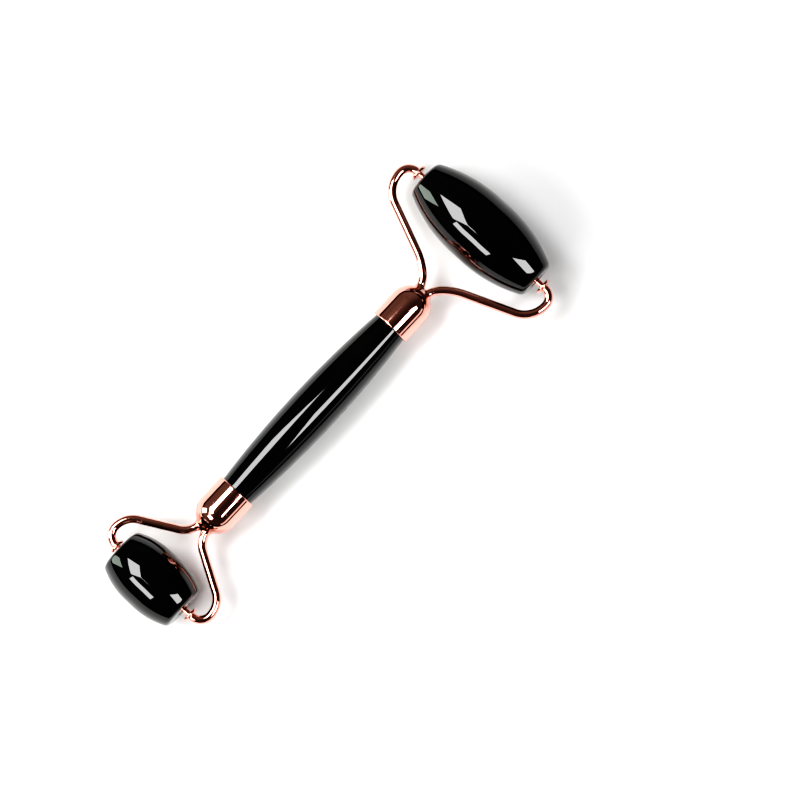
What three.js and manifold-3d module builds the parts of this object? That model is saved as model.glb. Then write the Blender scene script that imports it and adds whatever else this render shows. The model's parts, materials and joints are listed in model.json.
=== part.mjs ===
// Double-ended face roller: a stone handle with a fork and a barrel-shaped stone roller at each end.
// Millimetres, +Z up, origin on the table under the middle of the tool. X runs along the roller
// axles and +Y points from the small roller to the large one. Both rollers rest on the table.
import * as THREE from "three";
import { mergeVertices } from "three/addons/utils/BufferGeometryUtils.js";
import Module from "manifold-3d";

const wasm = await Module();
wasm.setup();

// ---- Driving dimensions -------------------------------------------------------------------

// Where each roller's axle crosses the tool's centre line, and the barrels themselves.
const LARGE_AXLE_Y = 63.1;
const SMALL_AXLE_Y = -64;
// endRadius is where the belly would meet the end face if its edge weren't rounded, band is a
// short true cylinder in the middle, and restShift is how far along X the roller lies in its float.
const LARGE_BARREL = {
  radius: 9.75,
  length: 40.6,
  endRadius: 5.3,
  band: 4.0,
  edgeRound: 1.7,
  restShift: -0.1,
};
const SMALL_BARREL = {
  radius: 8.85,
  length: 23.1,
  endRadius: 6.3,
  band: 3.0,
  edgeRound: 1.5,
  restShift: -0.5,
};

// The handle stone between the two caps.
const LARGE_CAP_MOUTH_Y = 27.45;
const SMALL_CAP_MOUTH_Y = -31.65;
const HANDLE_END_RADIUS = 4.92;
const HANDLE_MID_RADIUS = 6.45;
const HANDLE_EDGE_CHAMFER = 0.4;

// The end caps: a short tube with a domed end.
const CAP_RADIUS = 5.75;
const CAP_TUBE_LENGTH = 7.65;
const CAP_BORE_RADIUS = 4.98;
const CAP_BORE_DEPTH = 6.7;
const CAP_LIP_ROUND = 0.35;
const SPIGOT_END_GAP = 0.3;
const WIRE_SLOT_FLOOR = 9.5; // from the mouth
const WIRE_SLOT_CLEARANCE = 0.3;

// The stud that is fixed in the cap and glued in the handle stone.
const STUD_RADIUS = 1.5;
const STUD_BORE_RADIUS = 1.6;
const STUD_IN_CAP_FLOOR = 8.7; // from the mouth
const STUD_IN_STONE = 8.6; // below the spigot's end
const STUD_END_GAP = 0.2;
const STUD_CHAMFER = 0.3;
const STUD_GROOVES = 4;
const STUD_GROOVE_DEPTH = 0.3;
const STUD_GROOVE_PITCH = 1.6;

// The fork wires. Each one leaves its cap beside its twin, bends out to a straight arm, and
// hooks round to point inwards along the axle. The bends are radius and turn in degrees.
const WIRE_RADIUS = 1.18;
const WIRE_SPACING = 2.5; // between the two wires at the cap
const WIRE_IN_CAP = 0.2; // above the slot's floor
const LARGE_FORK = {
  straight: 11.8, // from the cap's mouth to the first bend
  bends: [
    [6.5, 47],
    [18, 20.7],
  ],
  halfWidth: 26.4, // centre line, at the widest place
  hookRadius: 3.3,
};
const SMALL_FORK = {
  straight: 12.5,
  bends: [[6.2, 60.7]],
  halfWidth: 17.3,
  hookRadius: 3.45,
};

// The weld bead in the crotch of each fork, above the dome.
const WELD_HEIGHT = 1.6;
const WELD_THICKNESS = 1.5;
const WELD_GAP = 0.06;

// The axle pins: a thick flange on the wire's end, and a pin that enters the roller's bush.
const PIN_RADIUS = 0.9;
const PIN_CHAMFER = 0.2;
const FLANGE_THICKNESS = 0.8;
const FLANGE_RIM_CHAMFER = 0.25;
const FLANGE_NECK = 0.3; // how much wider than the wire the flange's back starts
const LARGE_FLANGE = { radius: 2.45, face: 22.1 }; // face: distance from the centre line
const SMALL_FLANGE = { radius: 2.15, face: 12.9 };
const PIN_WIRE_GAP = 0.05;

// The nylon bushes in the ends of the bored barrels.
const BARREL_BORE_RADIUS = 2.1;
const BUSH_RADIUS = 2.05;
const BUSH_BORE_RADIUS = 0.98;
const BUSH_WALL = 0.8; // closed inner end, which takes the thrust of the pin's tip
const BUSH_RECESS = 0.2;
const BUSH_MOUTH_CHAMFER = 0.2;
const LARGE_BUSH_LENGTH = 5.6;
const SMALL_BUSH_LENGTH = 5.0;
const END_FLOAT = 0.65; // each side, between a pin's tip and its bush, with the roller centred

// Fineness of the faceted solids.
const STONE_SIDES = 36;
const CAP_SIDES = 32;
const SMALL_SIDES = 16;
const WIRE_ARC_SEGMENTS = 6; // per half turn of the section
const WIRE_STEP = 1.05;

// ---- Materials ----------------------------------------------------------------------------

const blackStone = () =>
  new THREE.MeshStandardMaterial({ color: 0x08080a, roughness: 0.06, metalness: 0 });
const roseGold = () =>
  new THREE.MeshStandardMaterial({ color: 0xf0b8a0, roughness: 0.08, metalness: 1 });
const steel = () =>
  new THREE.MeshStandardMaterial({ color: 0x9a9a9c, roughness: 0.35, metalness: 1 });
const nylon = () =>
  new THREE.MeshStandardMaterial({ color: 0xe6e2d8, roughness: 0.5, metalness: 0 });

// ---- Helpers ------------------------------------------------------------------------------

const degrees = THREE.MathUtils.degToRad;
const point = (radius, along) => new THREE.Vector2(radius, along);

// A body of revolution about Y from a profile of (radius, along) points, listed upwards outside.
function turned(profile, sides) {
  return new THREE.LatheGeometry(profile, sides);
}

// The same about X: the profile's "along" runs to +X.
function turnedAlongX(profile, sides) {
  return turned(profile, sides).rotateZ(-Math.PI / 2);
}

// Points of a round edge or dome about a centre, from one angle to another, both ends included.
function arcPoints(centre, radius, fromDegrees, toDegrees, segments) {
  const points = [];
  for (let i = 0; i <= segments; i += 1) {
    const angle = degrees(fromDegrees + ((toDegrees - fromDegrees) * i) / segments);
    points.push(point(centre.x + radius * Math.cos(angle), centre.y + radius * Math.sin(angle)));
  }
  return points;
}

function named(name, geometry, material) {
  const mesh = new THREE.Mesh(geometry, material);
  mesh.name = name;
  return mesh;
}

function toSolid(geometry) {
  const bare = geometry.index ? geometry.toNonIndexed() : geometry.clone();
  bare.deleteAttribute("normal");
  bare.deleteAttribute("uv");
  const merged = mergeVertices(bare, 1e-4);
  return new wasm.Manifold(
    new wasm.Mesh({
      numProp: 3,
      vertProperties: merged.attributes.position.array,
      triVerts: new Uint32Array(merged.index.array),
    }),
  );
}

function toGeometry(solid) {
  const mesh = solid.getMesh();
  const geometry = new THREE.BufferGeometry();
  geometry.setAttribute("position", new THREE.BufferAttribute(mesh.vertProperties, 3));
  geometry.setIndex(new THREE.BufferAttribute(mesh.triVerts, 1));
  return geometry;
}

// A circular arc or a straight stretch in the XY plane, as one smooth stretch of a bent wire.
// A positive turn is anticlockwise, and a radius of 0 is a straight of the given length.
class WireStretch extends THREE.Curve {
  constructor({ from, heading, radius = 0, turn = 0, length = 0 }) {
    super();
    this.from = from;
    this.heading = heading;
    this.radius = radius;
    this.turn = turn;
    this.straight = length;
    const side = Math.sign(turn);
    this.centre = new THREE.Vector3(-Math.sin(heading), Math.cos(heading), 0)
      .multiplyScalar(side * radius)
      .add(from);
  }

  getPoint(t, target = new THREE.Vector3()) {
    if (this.turn === 0) {
      const distance = this.straight * t;
      target.set(Math.cos(this.heading) * distance, Math.sin(this.heading) * distance, 0);
      return target.add(this.from);
    }
    const side = Math.sign(this.turn);
    const angle = this.heading + this.turn * t;
    target.set(Math.sin(angle), -Math.cos(angle), 0).multiplyScalar(side * this.radius);
    return target.add(this.centre);
  }
}

// ---- Rollers ------------------------------------------------------------------------------

// Radius of the long arc that falls from the band to the end radius.
function bellyArc(barrel) {
  const past = (barrel.length - barrel.band) / 2;
  const drop = barrel.radius - barrel.endRadius;
  return (past ** 2 + drop ** 2) / (2 * drop);
}

// Radius of the unrounded belly: a true cylinder in the middle band, then a long arc.
function bellyRadius(barrel, along) {
  const past = Math.max(0, Math.abs(along) - barrel.band / 2);
  const arc = bellyArc(barrel);
  return barrel.radius - arc + Math.sqrt(arc ** 2 - past ** 2);
}

// A barrel stone about X, bored through, with rounded end edges.
function barrelStone(barrel) {
  const half = barrel.length / 2;
  const round = barrel.edgeRound;
  const bellySegments = 5;
  const edgeSegments = 3;
  // The edge's arc lies inside the belly's, touches it where the slopes agree, and ends square on
  // the end face.
  const arc = bellyArc(barrel);
  const edgeCentrePast = half - round - barrel.band / 2;
  const slope = Math.asin(edgeCentrePast / (arc - round));
  const edgeCentreRadius = barrel.radius - arc + (arc - round) * Math.cos(slope);
  const edgeCentre = point(edgeCentreRadius, half - round);
  const upper = arcPoints(edgeCentre, round, THREE.MathUtils.radToDeg(slope), 90, edgeSegments);
  const bellyLength = arc * Math.sin(slope);
  const belly = [];
  for (let i = bellySegments; i >= 0; i -= 1) {
    const along = barrel.band / 2 + (bellyLength * i) / (bellySegments + 1);
    belly.push(point(bellyRadius(barrel, along), along));
  }
  const right = [...upper.reverse(), ...belly];
  const left = right.map((p) => point(p.x, -p.y)).reverse();
  const outside = [...right, ...left].reverse();
  const bore = [point(BARREL_BORE_RADIUS, half), point(BARREL_BORE_RADIUS, -half)];
  return turnedAlongX([...outside, ...bore, outside[0].clone()], STONE_SIDES);
}

// Distance from the roller's middle to the floor of a bush's bore.
function bushFloor(barrel, bushLength) {
  return barrel.length / 2 - BUSH_RECESS - (bushLength - BUSH_WALL);
}

// A nylon cup about X for the +X end of a barrel that is centred on X = 0.
function bush(barrel, bushLength) {
  const mouth = barrel.length / 2 - BUSH_RECESS;
  const inner = mouth - bushLength;
  const floor = bushFloor(barrel, bushLength);
  const profile = [
    point(0, inner),
    point(BUSH_RADIUS, inner),
    point(BUSH_RADIUS, mouth),
    point(BUSH_BORE_RADIUS + BUSH_MOUTH_CHAMFER, mouth),
    point(BUSH_BORE_RADIUS, mouth - BUSH_MOUTH_CHAMFER),
    point(BUSH_BORE_RADIUS, floor),
    point(0, floor),
  ];
  return turnedAlongX(profile, SMALL_SIDES);
}

// One roller about its own axle: the stone and a bush in each end.
function roller(prefix, barrel, bushLength) {
  const group = new THREE.Group();
  group.add(named(`${prefix}_roller_stone`, barrelStone(barrel), blackStone()));
  for (const [side, turn] of [["left", Math.PI], ["right", 0]]) {
    const part = named(`${prefix}_roller_${side}_bush`, bush(barrel, bushLength), nylon());
    part.rotation.z = turn;
    group.add(part);
  }
  return group;
}

// ---- Handle -------------------------------------------------------------------------------

const HANDLE_VISIBLE = LARGE_CAP_MOUTH_Y - SMALL_CAP_MOUTH_Y;
const HANDLE_MIDDLE_Y = (LARGE_CAP_MOUTH_Y + SMALL_CAP_MOUTH_Y) / 2;
const HANDLE_HALF = HANDLE_VISIBLE / 2 + CAP_BORE_DEPTH - SPIGOT_END_GAP;

// Radius of the handle: a long arc between the caps, parallel inside them.
function handleRadius(along) {
  const half = HANDLE_VISIBLE / 2;
  const rise = HANDLE_MID_RADIUS - HANDLE_END_RADIUS;
  const arc = (half ** 2 + rise ** 2) / (2 * rise);
  const inside = Math.min(Math.abs(along), half);
  return HANDLE_MID_RADIUS - arc + Math.sqrt(arc ** 2 - inside ** 2);
}

// The handle stone about Y, centred on its own middle, with a blind glue bore in each end.
function handleStone() {
  const segments = 12;
  const boreFloor = HANDLE_HALF - STUD_IN_STONE;
  const profile = [
    point(0, -boreFloor),
    point(STUD_BORE_RADIUS, -boreFloor),
    point(STUD_BORE_RADIUS, -HANDLE_HALF),
    point(HANDLE_END_RADIUS - HANDLE_EDGE_CHAMFER, -HANDLE_HALF),
    point(HANDLE_END_RADIUS, -HANDLE_HALF + HANDLE_EDGE_CHAMFER),
  ];
  for (let i = 0; i <= segments; i += 1) {
    const along = HANDLE_VISIBLE * (i / segments - 0.5);
    profile.push(point(handleRadius(along), along));
  }
  profile.push(
    point(HANDLE_END_RADIUS, HANDLE_HALF - HANDLE_EDGE_CHAMFER),
    point(HANDLE_END_RADIUS - HANDLE_EDGE_CHAMFER, HANDLE_HALF),
    point(STUD_BORE_RADIUS, HANDLE_HALF),
    point(STUD_BORE_RADIUS, boreFloor),
    point(0, boreFloor),
  );
  return turned(profile, STONE_SIDES);
}

// ---- One end of the tool: cap, stud, fork wires, weld and axle pins -------------------------
// These are built with Y pointing out of the handle, from Y = 0 at the cap's mouth.

// The slot that both wires pass through in the dome: a stadium, run straight up.
function wireSlot() {
  const radius = WIRE_RADIUS + WIRE_SLOT_CLEARANCE;
  const outline = new THREE.Shape();
  outline.absarc(WIRE_SPACING / 2, 0, radius, -Math.PI / 2, Math.PI / 2, false);
  outline.absarc(-WIRE_SPACING / 2, 0, radius, Math.PI / 2, Math.PI * 1.5, false);
  const options = { depth: CAP_RADIUS, bevelEnabled: false, curveSegments: 5 };
  const block = new THREE.ExtrudeGeometry(outline, options);
  return block.rotateX(-Math.PI / 2).translate(0, WIRE_SLOT_FLOOR, 0);
}

function endCap() {
  const domeSegments = 7;
  const lipSegments = 2;
  const lip = point(CAP_RADIUS - CAP_LIP_ROUND, CAP_LIP_ROUND);
  const dome = arcPoints(point(0, CAP_TUBE_LENGTH), CAP_RADIUS, 0, 90, domeSegments);
  const profile = [
    point(0, STUD_IN_CAP_FLOOR),
    point(STUD_BORE_RADIUS, STUD_IN_CAP_FLOOR),
    point(STUD_BORE_RADIUS, CAP_BORE_DEPTH),
    point(CAP_BORE_RADIUS, CAP_BORE_DEPTH),
    point(CAP_BORE_RADIUS, 0),
    ...arcPoints(lip, CAP_LIP_ROUND, -90, 0, lipSegments),
    ...dome,
  ];
  profile[profile.length - 1].x = 0;
  return toGeometry(toSolid(turned(profile, CAP_SIDES)).subtract(toSolid(wireSlot())));
}

// The stud about Y, from deep in the handle stone up into the cap.
function capStud() {
  const top = STUD_IN_CAP_FLOOR - STUD_END_GAP;
  const spigotEnd = CAP_BORE_DEPTH - SPIGOT_END_GAP;
  const bottom = spigotEnd - STUD_IN_STONE + STUD_END_GAP;
  const profile = [
    point(0, bottom),
    point(STUD_RADIUS - STUD_CHAMFER, bottom),
    point(STUD_RADIUS, bottom + STUD_CHAMFER),
  ];
  for (let i = 0; i < STUD_GROOVES; i += 1) {
    const start = bottom + STUD_CHAMFER + 0.8 + i * STUD_GROOVE_PITCH;
    profile.push(
      point(STUD_RADIUS, start),
      point(STUD_RADIUS - STUD_GROOVE_DEPTH, start + STUD_GROOVE_DEPTH),
      point(STUD_RADIUS, start + 2 * STUD_GROOVE_DEPTH),
    );
  }
  profile.push(
    point(STUD_RADIUS, top - STUD_CHAMFER),
    point(STUD_RADIUS - STUD_CHAMFER, top),
    point(0, top),
  );
  return turned(profile, SMALL_SIDES);
}

// The centre line of the +X wire, ending on the axle's line and pointing inwards.
function wirePath(fork, axleReach) {
  const path = new THREE.CurvePath();
  let heading = Math.PI / 2;
  let end = new THREE.Vector3(WIRE_SPACING / 2, WIRE_SLOT_FLOOR + WIRE_IN_CAP, 0);
  const add = (stretch) => {
    const curve = new WireStretch({ from: end, heading, ...stretch });
    path.add(curve);
    end = curve.getPoint(1);
    heading += curve.turn;
  };
  add({ length: fork.straight - end.y });
  for (const [radius, turn] of fork.bends) {
    add({ radius, turn: -degrees(turn) });
  }
  // The hook is a wide arc up to the widest place, then a tight quarter turn on to the axle.
  // The wide arc's radius and the arm's length follow from where they have to end.
  const widest = new THREE.Vector2(fork.halfWidth, axleReach - fork.hookRadius);
  const across = widest.x - end.x;
  const up = widest.y - end.y;
  const sine = Math.sin(heading);
  const cosine = Math.cos(heading);
  const sweep = (up * cosine - across * sine) / (cosine * cosine - (1 - sine) * sine);
  const arm = (across - sweep * (1 - sine)) / cosine;
  add({ length: arm });
  add({ radius: sweep, turn: Math.PI / 2 - heading });
  add({ radius: fork.hookRadius, turn: Math.PI / 2 });
  return path;
}

function forkWire(path) {
  const section = new THREE.Shape();
  section.absarc(0, 0, WIRE_RADIUS, 0, 2 * Math.PI, false);
  const steps = Math.round(path.getLength() / WIRE_STEP);
  const options = { steps, curveSegments: WIRE_ARC_SEGMENTS, extrudePath: path };
  return new THREE.ExtrudeGeometry(section, { ...options, bevelEnabled: false });
}

// The weld bead: a plate between the wires' inner sides, with a hollow top edge.
function forkWeld(fork) {
  const [bendRadius] = fork.bends[0];
  const bottom = CAP_TUBE_LENGTH + CAP_RADIUS + WELD_GAP;
  const top = bottom + WELD_HEIGHT;
  const segments = 4;
  const side = [];
  for (let i = 0; i <= segments; i += 1) {
    const height = bottom + ((top - bottom) * i) / segments;
    const above = Math.max(0, height - fork.straight);
    const reach = bendRadius + WIRE_RADIUS + WELD_GAP;
    const inner = WIRE_SPACING / 2 + bendRadius - Math.sqrt(reach ** 2 - above ** 2);
    side.push(point(inner, height));
  }
  const outline = new THREE.Shape();
  outline.setFromPoints([...side, point(0, top - 0.2)]);
  for (const p of side.reverse()) {
    outline.lineTo(-p.x, p.y);
  }
  const options = { depth: WELD_THICKNESS, bevelEnabled: false };
  return new THREE.ExtrudeGeometry(outline, options).translate(0, 0, -WELD_THICKNESS / 2);
}

// The +X axle pin about X: tip towards the middle, thick flange and short neck on the wire's end.
function axlePin(flange, tip, wireEnd) {
  const rim = flange.radius;
  const back = flange.face + FLANGE_THICKNESS;
  const end = wireEnd - PIN_WIRE_GAP;
  const profile = [
    point(0, tip),
    point(PIN_RADIUS - PIN_CHAMFER, tip),
    point(PIN_RADIUS, tip + PIN_CHAMFER),
    point(PIN_RADIUS, flange.face),
    point(rim - FLANGE_RIM_CHAMFER, flange.face),
    point(rim, flange.face + FLANGE_RIM_CHAMFER),
    point(rim, back - FLANGE_RIM_CHAMFER),
    point(rim - FLANGE_RIM_CHAMFER, back),
    point(WIRE_RADIUS + FLANGE_NECK, back),
    point(WIRE_RADIUS, end),
    point(0, end),
  ];
  return turnedAlongX(profile, SMALL_SIDES);
}

// A whole end. outward is 1 where the end's own Y is the tool's +Y, and -1 where it is turned
// half round, which also swaps left and right.
function toolEnd(prefix, outward, end) {
  const group = new THREE.Group();
  group.add(named(`${prefix}_end_cap`, endCap(), roseGold()));
  group.add(named(`${prefix}_cap_stud`, capStud(), steel()));
  const path = wirePath(end.fork, end.axleReach);
  const wireEnd = end.fork.halfWidth - end.fork.hookRadius;
  const tip = bushFloor(end.barrel, end.bushLength) + END_FLOAT;
  for (const mirrored of [false, true]) {
    const atRight = mirrored === (outward < 0);
    const side = atRight ? "right" : "left";
    const half = new THREE.Group();
    half.add(named(`${prefix}_fork_${side}_wire`, forkWire(path), roseGold()));
    const pin = named(`${prefix}_${side}_axle_pin`, axlePin(end.flange, tip, wireEnd), roseGold());
    pin.position.y = end.axleReach;
    half.add(pin);
    if (mirrored) {
      half.rotation.y = Math.PI;
    }
    group.add(half);
  }
  group.add(named(`${prefix}_fork_weld`, forkWeld(end.fork), roseGold()));
  const barrel = roller(prefix, end.barrel, end.bushLength);
  barrel.position.set(end.barrel.restShift * outward, end.axleReach, 0);
  barrel.rotation.z = outward > 0 ? 0 : Math.PI;
  group.add(barrel);
  group.position.y = end.mouth;
  group.rotation.z = outward > 0 ? 0 : Math.PI;
  return group;
}

// ---- Assembly -----------------------------------------------------------------------------

const LARGE_END = {
  mouth: LARGE_CAP_MOUTH_Y,
  axleReach: LARGE_AXLE_Y - LARGE_CAP_MOUTH_Y,
  barrel: LARGE_BARREL,
  fork: LARGE_FORK,
  flange: LARGE_FLANGE,
  bushLength: LARGE_BUSH_LENGTH,
};
const SMALL_END = {
  mouth: SMALL_CAP_MOUTH_Y,
  axleReach: SMALL_CAP_MOUTH_Y - SMALL_AXLE_Y,
  barrel: SMALL_BARREL,
  fork: SMALL_FORK,
  flange: SMALL_FLANGE,
  bushLength: SMALL_BUSH_LENGTH,
};

// The tool lies on both rollers, so it tilts a little: the large roller's axle is the higher.
function layOnTable(tool) {
  const rise = LARGE_BARREL.radius - SMALL_BARREL.radius;
  const sine = rise / (LARGE_AXLE_Y - SMALL_AXLE_Y);
  tool.rotation.x = Math.asin(sine);
  tool.position.z = LARGE_BARREL.radius - LARGE_AXLE_Y * sine;
  return tool;
}

const tool = new THREE.Group();
const handle = named("handle_stone", handleStone(), blackStone());
handle.position.y = HANDLE_MIDDLE_Y;
tool.add(handle);
tool.add(toolEnd("large", 1, LARGE_END));
tool.add(toolEnd("small", -1, SMALL_END));

const group = new THREE.Group();
group.add(layOnTable(tool));

export default group;
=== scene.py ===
# %% [markdown]
# # A double-ended face roller
# The tool has a turned black stone handle with a polished rose gold cap on each end. Each cap
# holds a fork of bent wire, and each fork carries a barrel-shaped stone roller which spins on two
# short pins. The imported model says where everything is, so this script only makes the finished
# surfaces, their materials, and a small studio to see them in.

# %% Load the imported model
import json
import math

import bpy
import numpy as np
from mathutils import Matrix, Vector


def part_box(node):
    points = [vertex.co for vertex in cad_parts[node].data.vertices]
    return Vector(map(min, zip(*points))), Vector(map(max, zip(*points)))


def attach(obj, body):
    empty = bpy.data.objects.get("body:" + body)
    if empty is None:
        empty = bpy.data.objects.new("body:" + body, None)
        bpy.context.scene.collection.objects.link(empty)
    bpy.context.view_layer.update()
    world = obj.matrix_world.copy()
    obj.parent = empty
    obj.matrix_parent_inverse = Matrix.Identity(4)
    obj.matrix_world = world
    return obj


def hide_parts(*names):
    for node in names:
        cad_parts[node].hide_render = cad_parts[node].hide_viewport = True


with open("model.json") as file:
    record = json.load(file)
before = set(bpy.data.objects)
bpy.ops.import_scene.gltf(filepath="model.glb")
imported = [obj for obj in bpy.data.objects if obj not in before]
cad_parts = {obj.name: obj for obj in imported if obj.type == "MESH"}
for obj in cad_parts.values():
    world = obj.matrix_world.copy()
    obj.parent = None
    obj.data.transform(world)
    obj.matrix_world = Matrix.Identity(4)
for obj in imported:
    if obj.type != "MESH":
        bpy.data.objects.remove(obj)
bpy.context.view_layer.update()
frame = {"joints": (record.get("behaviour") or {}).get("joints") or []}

# %% [markdown]
# ## Where the tool lies
# The large roller is fatter than the small one, so on a table the tool leans by less than half a
# degree. Every piece is drawn in millimetres in the tool's own straight frame, with Y along the
# handle. One function then leans the points and turns them into metres. The two axle positions
# come from the joints, so nothing has to be fitted afterwards.

# %% From the tool's straight frame to the table
MM = 0.001
axles = {j["name"]: np.array(j["pos_m"]) / MM for j in frame["joints"]}
LARGE_AXLE = axles["large_roller_spin"]
SMALL_AXLE = axles["small_roller_spin"]
LEAN_SINE = (LARGE_AXLE[2] - SMALL_AXLE[2]) / (LARGE_AXLE[1] - SMALL_AXLE[1])
LEAN_COSINE = math.sqrt(1 - LEAN_SINE**2)
LIFT = LARGE_AXLE[2] - LARGE_AXLE[1] * LEAN_SINE


def on_table(points):
    """Millimetres in the straight frame to metres on the table: a turn about X, then a lift."""
    x, y, z = np.moveaxis(points, -1, 0)
    leaned = [x, y * LEAN_COSINE - z * LEAN_SINE, y * LEAN_SINE + z * LEAN_COSINE + LIFT]
    return np.stack(leaned, -1) * MM


print(f"the tool leans {math.degrees(math.asin(LEAN_SINE)):.2f} degrees")

# %% [markdown]
# ## A grid becomes a mesh
# Almost every piece here is a closed surface over a grid: rows run along the piece and columns run
# round it. A row whose points all meet is a pole, so it gets one vertex, and its faces are
# triangles. The faces' signed volume tells whether they point outwards, and if it is negative they
# are all turned round. Sharp edges are marked by their angle, and everything else is smooth.

# %% Grid to mesh
SHARP_DEGREES = 32


def grid_faces(rows, columns, pole, ring):
    """The faces' corner numbers over a grid that closes round its columns, and its rows and columns.

    Row r, column c has number start[r] + c, or start[r] alone where the row is a pole."""
    size = np.where(pole, 1, columns)
    start = np.concatenate([[0], np.cumsum(size)[:-1]])
    number = start[:, None] + np.where(pole[:, None], 0, np.arange(columns)[None, :])
    low = np.arange(rows if ring else rows - 1)
    high = (low + 1) % rows
    left = np.arange(columns)
    right = (left + 1) % columns
    below, above = number[low], number[high]
    corners = [below[:, left], below[:, right], above[:, right], above[:, left]]
    return np.stack(corners, -1).reshape(-1, 4), low, left


def signed_volume(vertices, faces):
    """A sixth of the sum of the corner triple products of every triangle, fanned from corner 0."""
    a, b, c, d = (vertices[faces[:, i]] for i in range(4))
    triple = np.einsum("ij,ij->i", a, np.cross(b, c)) + np.einsum("ij,ij->i", a, np.cross(c, d))
    return triple.sum() / 6


def grid_piece(name, points, along, ring=False):
    """A mesh object from rows x columns x 3 points in the straight frame.

    along is each row's distance down the piece, in millimetres, and becomes the UV map's V."""
    rows, columns, _ = points.shape
    pole = np.ptp(points, axis=1).max(axis=1) < 1e-7
    keep = ~pole[:, None] | (np.arange(columns)[None, :] == 0)
    vertices = on_table(points[keep])
    faces, low, left = grid_faces(rows, columns, pole, ring)
    across = np.stack([left, left + 1, left + 1, left], -1) / columns
    step = np.append(along, along[-1] + 1.0)
    u = np.broadcast_to(across[None], (len(low), columns, 4)).reshape(-1, 4)
    v = np.stack([step[low], step[low], step[low + 1], step[low + 1]], -1)
    v = np.broadcast_to(v[:, None], (len(low), columns, 4)).reshape(-1, 4)
    if signed_volume(vertices, faces) < 0:
        faces, u, v = faces[:, ::-1], u[:, ::-1], v[:, ::-1]
    distinct = faces != np.roll(faces, 1, axis=1)
    corner_lists = [face[own].tolist() for face, own in zip(faces, distinct)]
    mesh = bpy.data.meshes.new(name)
    mesh.from_pydata(vertices.tolist(), [], corner_lists)
    layer = mesh.uv_layers.new(name="surface")
    layer.data.foreach_set("uv", np.stack([u[distinct], v[distinct]], -1).ravel())
    mesh.shade_smooth()
    mesh.set_sharp_from_angle(angle=math.radians(SHARP_DEGREES))
    piece = bpy.data.objects.new(name, mesh)
    bpy.context.scene.collection.objects.link(piece)
    return piece


# %% [markdown]
# ## Turned shapes
# The handle, the rollers, the caps' studs, the bushes and the pins are all turned on a lathe in
# real life. So each one is a profile of (radius, along) points carried round an axis. Straight
# stretches are cut into short steps near their ends, which keeps a flat face looking flat, and
# rounded edges are true arcs, because a sharp edge never catches a highlight.

# %% Profiles and the lathe
STONE_COLUMNS = 192
METAL_COLUMNS = 128
SMALL_COLUMNS = 64


def arc(centre, radius, first, last, count=9):
    """Points of a circle about (radius, along) = centre, from one angle in degrees to another."""
    angle = np.radians(np.linspace(first, last, count))
    return np.stack([centre[0] + radius * np.cos(angle), centre[1] + radius * np.sin(angle)], -1)


def straight(first, last, step=0.35):
    """Points from one end to the other, both left out, crowded towards the ends by a cosine."""
    first, last = np.array(first, float), np.array(last, float)
    count = max(3, int(np.hypot(*(last - first)) / step))
    share = (1 - np.cos(np.pi * np.arange(1, count) / count)) / 2
    return first + share[:, None] * (last - first)


def rounded(corners, radii, count=7):
    """A profile through corners, with each inner corner replaced by an arc of its own radius.

    The arc touches both sides at distance radius / tan(half the corner's angle) from the corner."""
    corners = np.array(corners, float)
    points = [corners[:1]]
    for before, corner, after, radius in zip(corners, corners[1:], corners[2:], radii):
        back = (before - corner) / np.hypot(*(before - corner))
        onward = (after - corner) / np.hypot(*(after - corner))
        half = math.acos(np.clip(back @ onward, -1, 1)) / 2
        middle = corner + (back + onward) / np.hypot(*(back + onward)) * radius / math.sin(half)
        start = corner + back * radius / math.tan(half)
        end = corner + onward * radius / math.tan(half)
        first = math.atan2(*(start - middle)[::-1])
        turn = (math.atan2(*(end - middle)[::-1]) - first + math.pi) % (2 * math.pi) - math.pi
        angle = first + turn * np.linspace(0, 1, count)
        bend = middle + radius * np.stack([np.cos(angle), np.sin(angle)], -1)
        points += [straight(points[-1][-1], start), bend]
    points += [straight(points[-1][-1], corners[-1]), corners[-1:]]
    return np.concatenate(points)


def profile_length(profile):
    """Distance along the profile up to each of its points."""
    return np.concatenate([[0], np.cumsum(np.hypot(*np.diff(profile, axis=0).T))])


def turned(name, profile, place, columns, ring=False):
    """Carries the profile round Y. place moves the straight-up points to where the piece is."""
    angle = 2 * np.pi * np.arange(columns) / columns
    radius, along = profile[:, :1], profile[:, 1:]
    points = np.stack([radius * np.sin(angle), along + 0 * angle, radius * np.cos(angle)], -1)
    return grid_piece(name, place(points), profile_length(profile), ring)


# %% [markdown]
# ## Two ends and a few placings
# Each end of the tool is drawn with its own Y pointing out of the handle, from 0 at the cap's
# mouth. The small end is the same drawing turned half round. Pins, bushes and rollers are turned
# about X instead, so their profiles are laid over first.

# %% The two ends
LARGE_MOUTH = 27.45
SMALL_MOUTH = -31.65


def at_large_end(points):
    """From the large end's own frame: a slide along Y."""
    return points + np.array([0, LARGE_MOUTH, 0])


def at_small_end(points):
    """From the small end's own frame: half a turn about Z, then a slide along Y."""
    return points * np.array([-1, -1, 1]) + np.array([0, SMALL_MOUTH, 0])


def along_x(points, side=1):
    """Lays a shape turned about Y over, so that its along runs to +X, or to -X for side -1."""
    x, y, z = np.moveaxis(points, -1, 0)
    return np.stack([side * y, side * -x, z], -1)


def axle_frame(axle_y, side=1):
    """A placing for a shape turned about X on the axle at that Y."""
    return lambda points: along_x(points, side) + np.array([0, axle_y, 0])


print("the caps' mouths are", LARGE_MOUTH - SMALL_MOUTH, "mm apart")

# %% [markdown]
# ## The handle
# A slim black stone baluster: its side is one long shallow arc, and the ends run parallel where
# they sit in the caps. A blind hole in each end takes a glued stud. A cylinder with a bulge
# modifier would do from afar, but only a true arc gives the long clean streaks of light that run
# down a polished handle.

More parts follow.
